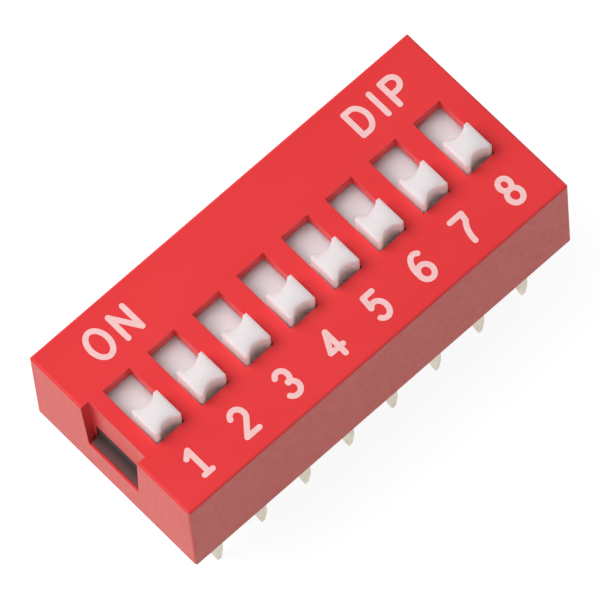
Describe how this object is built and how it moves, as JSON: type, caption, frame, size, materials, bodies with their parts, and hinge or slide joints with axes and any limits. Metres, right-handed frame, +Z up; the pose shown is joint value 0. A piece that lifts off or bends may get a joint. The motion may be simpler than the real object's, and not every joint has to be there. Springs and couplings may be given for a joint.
{
  "type": "dip switch",
  "caption": "Slide DIP switch for through-hole boards: red box cover, raised white sliding knobs in a row, two rows of flat pins below.",
  "frame": {"origin": "centre of the seating plane, the underside of the base that lies on the circuit board", "axes": "+X along the row from switch 1 to switch 8, +Y from OFF to ON, +Z up out of the board through the knobs"},
  "size_m": [0.0218, 0.01, 0.0105],
  "materials": {
    "cover_plastic": "satin moulded red plastic",
    "base_plastic": "satin moulded black plastic",
    "slider_plastic": "satin moulded white plastic",
    "wiper_metal": "gold-plated spring strip",
    "terminal_metal": "tin-plated stamped strip",
    "print_ink": "pad-printed white ink, thin enough that the red below tints it"
  },
  "bodies": {
    "housing": {"cover": "cover_plastic", "base": "base_plastic", "terminal_1": "terminal_metal", "terminal_2": "terminal_metal", "terminal_3": "terminal_metal", "terminal_4": "terminal_metal", "terminal_5": "terminal_metal", "terminal_6": "terminal_metal", "terminal_7": "terminal_metal", "terminal_8": "terminal_metal", "terminal_9": "terminal_metal", "terminal_10": "terminal_metal", "terminal_11": "terminal_metal", "terminal_12": "terminal_metal", "terminal_13": "terminal_metal", "terminal_14": "terminal_metal", "terminal_15": "terminal_metal", "terminal_16": "terminal_metal"},
    "switch_1": {"slider_1": "slider_plastic", "wiper_1": "wiper_metal"},
    "switch_2": {"slider_2": "slider_plastic", "wiper_2": "wiper_metal"},
    "switch_3": {"slider_3": "slider_plastic", "wiper_3": "wiper_metal"},
    "switch_4": {"slider_4": "slider_plastic", "wiper_4": "wiper_metal"},
    "switch_5": {"slider_5": "slider_plastic", "wiper_5": "wiper_metal"},
    "switch_6": {"slider_6": "slider_plastic", "wiper_6": "wiper_metal"},
    "switch_7": {"slider_7": "slider_plastic", "wiper_7": "wiper_metal"},
    "switch_8": {"slider_8": "slider_plastic", "wiper_8": "wiper_metal"}
  },
  "joints": [
    {"name": "slide_1", "type": "slide", "parent": "housing", "child": "switch_1", "axis": [0, 1, 0], "range_m": [0, 0.00175]},
    {"name": "slide_2", "type": "slide", "parent": "housing", "child": "switch_2", "axis": [0, 1, 0], "range_m": [0, 0.00175]},
    {"name": "slide_3", "type": "slide", "parent": "housing", "child": "switch_3", "axis": [0, 1, 0], "range_m": [0, 0.00175]},
    {"name": "slide_4", "type": "slide", "parent": "housing", "child": "switch_4", "axis": [0, 1, 0], "range_m": [0, 0.00175]},
    {"name": "slide_5", "type": "slide", "parent": "housing", "child": "switch_5", "axis": [0, 1, 0], "range_m": [0, 0.00175]},
    {"name": "slide_6", "type": "slide", "parent": "housing", "child": "switch_6", "axis": [0, 1, 0], "range_m": [0, 0.00175]},
    {"name": "slide_7", "type": "slide", "parent": "housing", "child": "switch_7", "axis": [0, 1, 0], "range_m": [0, 0.00175]},
    {"name": "slide_8", "type": "slide", "parent": "housing", "child": "switch_8", "axis": [0, 1, 0], "range_m": [0, 0.00175]}
  ]
}
